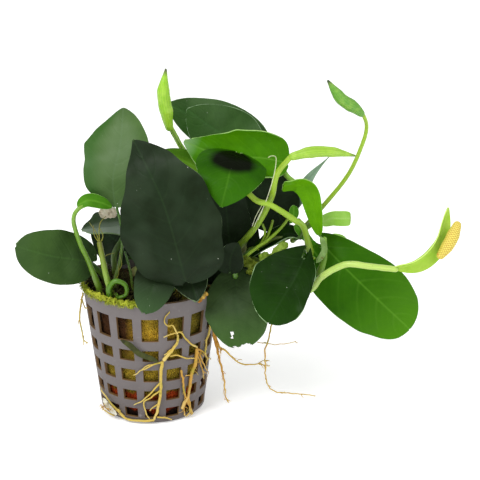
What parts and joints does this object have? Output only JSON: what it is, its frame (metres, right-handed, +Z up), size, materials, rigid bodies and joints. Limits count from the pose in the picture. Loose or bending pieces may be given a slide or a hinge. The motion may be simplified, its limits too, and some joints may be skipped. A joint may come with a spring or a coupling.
{
  "type": "potted anubias plant",
  "caption": "Dwarf anubias aquarium plant growing in stone wool in a tapered mesh net pot, with leaves on stalks, flower spathes and free roots.",
  "frame": {"origin": "centre of the pot's flat base, on the surface that it stands on", "axes": "+Z up along the pot's axis, +X along the plant's longest reach to the right, +Y to the back"},
  "size_m": [0.1613, 0.0615, 0.1341],
  "materials": {
    "pot_plastic": "matte",
    "stone_wool": "matte",
    "dark_leaf": "satin",
    "bright_leaf": "satin",
    "stalk": "satin",
    "flower": "satin",
    "spadix": "matte",
    "rhizome": "satin",
    "root": "matte"
  },
  "bodies": {
    "root": {"net_pot": "pot_plastic", "stone_wool": "stone_wool", "rhizome": "rhizome", "front_leaf": "dark_leaf", "upper_left_leaf": "dark_leaf", "left_leaf": "dark_leaf", "grey_leaf": "dark_leaf", "shade_leaf": "dark_leaf", "over_rim_leaf": "dark_leaf", "under_front_leaf": "dark_leaf", "torn_leaf": "dark_leaf", "glossy_leaf": "dark_leaf", "edge_on_leaf": "dark_leaf", "bright_leaf": "bright_leaf", "trough_leaf": "bright_leaf", "hanging_leaf": "bright_leaf", "back_left_leaf": "dark_leaf", "back_right_leaf": "dark_leaf", "wedge_leaf": "bright_leaf", "strap_leaf": "bright_leaf", "grey_tip_leaf": "dark_leaf", "dark_back_leaf": "dark_leaf", "rhizome_leaf": "dark_leaf", "inner_leaf": "dark_leaf", "narrow_leaf": "bright_leaf", "pale_lobe": "bright_leaf", "pale_bract": "flower", "open_spathe": "flower", "front_petiole": "stalk", "upper_left_petiole": "stalk", "left_petiole": "stalk", "grey_petiole": "stalk", "torn_petiole": "stalk", "glossy_petiole": "stalk", "bright_petiole": "stalk", "hanging_petiole": "stalk", "trough_petiole": "stalk", "back_left_petiole": "stalk", "back_right_petiole": "stalk", "dark_back_petiole": "stalk", "strap_petiole": "stalk", "cut_petiole": "stalk", "coiled_shoot": "stalk", "open_flower_stalk": "flower", "tall_flower_stalk": "flower", "level_flower_stalk": "root", "base_root": "root", "thick_root": "root", "right_root": "root", "outer_root": "root", "long_root": "root", "tall_spathe": "flower", "level_spathe": "flower", "upright_spathe": "flower", "spadix": "spadix", "branch_root": "root", "front_root": "root", "left_root": "root", "upright_flower_stalk": "flower"}
  },
  "joints": []
}
